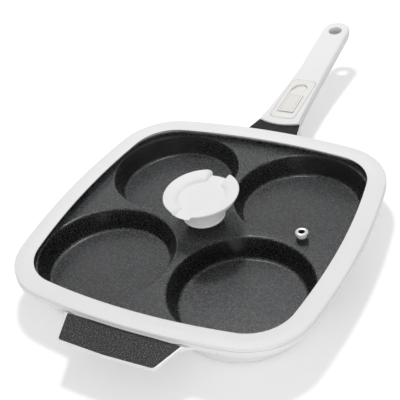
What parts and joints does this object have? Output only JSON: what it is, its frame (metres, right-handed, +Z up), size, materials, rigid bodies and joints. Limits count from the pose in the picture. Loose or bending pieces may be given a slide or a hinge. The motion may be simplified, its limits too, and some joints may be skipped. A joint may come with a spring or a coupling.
{
  "type": "egg pan",
  "caption": "Egg pan with round wells in a rounded square body, flat glass lid with a silicone rim and a notched knob, and a pull-off handle with a sliding latch.",
  "frame": {"origin": "middle of the pan with its handle and lid, seen from above, on the plane that the feet of the cups stand on", "axes": "+Y from the front tab to the end of the handle, +Z up out of the wells, +X to the right when the handle points away"},
  "size_m": [0.28, 0.5182, 0.0609],
  "materials": {
    "pan_coating": "ceramic coated, white outside and dark non-stick inside",
    "bare_steel": "brushed",
    "lid_glass": "clear",
    "white_silicone": "satin",
    "white_plastic": "satin",
    "cream_plastic": "satin",
    "brass": "plain"
  },
  "bodies": {
    "pan": {"pan_body": "pan_coating", "base_disc_front_left": "bare_steel", "base_disc_front_right": "bare_steel", "base_disc_back_left": "bare_steel", "base_disc_back_right": "bare_steel"},
    "lid": {"lid_glass": "lid_glass", "lid_rim": "white_silicone", "knob_seal": "white_silicone", "knob_base": "white_plastic", "knob_insert": "brass", "knob_tray": "white_plastic", "screw_seal": "white_silicone", "screw_washer": "bare_steel", "knob_screw": "bare_steel", "vent_grommet": "white_silicone", "vent_eyelet": "bare_steel", "vent_collar": "bare_steel"},
    "handle": {"handle_upper_shell": "white_plastic", "handle_lower_shell": "white_plastic", "handle_screw_front_left": "bare_steel", "handle_screw_front_right": "bare_steel", "handle_screw_rear": "bare_steel", "latch_bezel": "cream_plastic", "socket_sleeve": "bare_steel", "pawl_pin": "bare_steel", "latch_spring": "bare_steel"},
    "latch": {"latch_slider": "cream_plastic", "slider_plate": "cream_plastic", "latch_carriage": "cream_plastic", "carriage_screw": "bare_steel"},
    "pawl": {"latch_pawl": "bare_steel"}
  },
  "joints": [
    {"name": "lid_lift", "type": "slide", "parent": "pan", "child": "lid", "axis": [0, 0, 1], "range_m": [0, 0.06]},
    {"name": "handle_release", "type": "slide", "parent": "pan", "child": "handle", "axis": [0, 1, 0], "range_m": [0, 0.06]},
    {"name": "latch_draw", "type": "slide", "parent": "handle", "child": "latch", "axis": [0, 0.9974, 0.0718], "range_m": [0, 0.007], "stiffness_N_per_m": 300, "springref_m": -0.004},
    {"name": "pawl_lift", "type": "hinge", "parent": "handle", "child": "pawl", "pos_m": [0, 0.11265, 0.0268], "axis": [-1, 0, 0], "range_deg": [0, 12], "deforming": ["latch_spring"]}
  ],
  "couplings": [
    {"joint": "pawl_lift", "follows": "latch_draw", "rad_per_m": 29.9}
  ]
}
